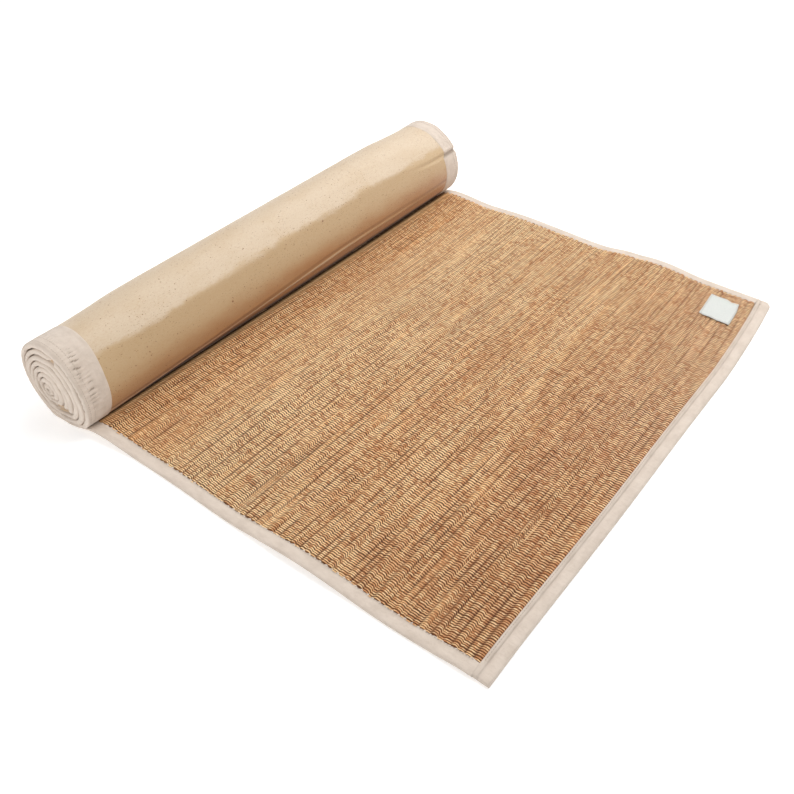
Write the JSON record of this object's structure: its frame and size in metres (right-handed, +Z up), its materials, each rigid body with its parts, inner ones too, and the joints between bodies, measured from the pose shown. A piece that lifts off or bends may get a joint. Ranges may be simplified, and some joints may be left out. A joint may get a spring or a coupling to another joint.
{
  "type": "straw yoga mat",
  "caption": "Woven straw yoga mat with a cotton backing and bound edges, mostly rolled up, its loose end laid out flat",
  "frame": {"origin": "centre of the mat's box, on the floor it lies on", "axes": "+X from the roll to the free front edge, +Y along the roll to its far end, +Z up from the floor"},
  "size_m": [0.539, 0.617, 0.0979],
  "materials": {
    "straw": "golden brown straw in ridged rows, tied by fine threads",
    "backing_cloth": "unbleached cotton with a slight sheen and small brown specks",
    "binding_tape": "matt cream cotton tape",
    "label_cloth": "plain off-white cloth"
  },
  "bodies": {
    "root": {"roll_body": "backing_cloth", "roll_end_near": "binding_tape", "roll_end_far": "binding_tape", "straw_panel": "straw", "backing_cloth": "backing_cloth", "binding_near": "binding_tape", "binding_far": "binding_tape", "binding_front": "binding_tape", "label": "label_cloth"}
  },
  "joints": []
}
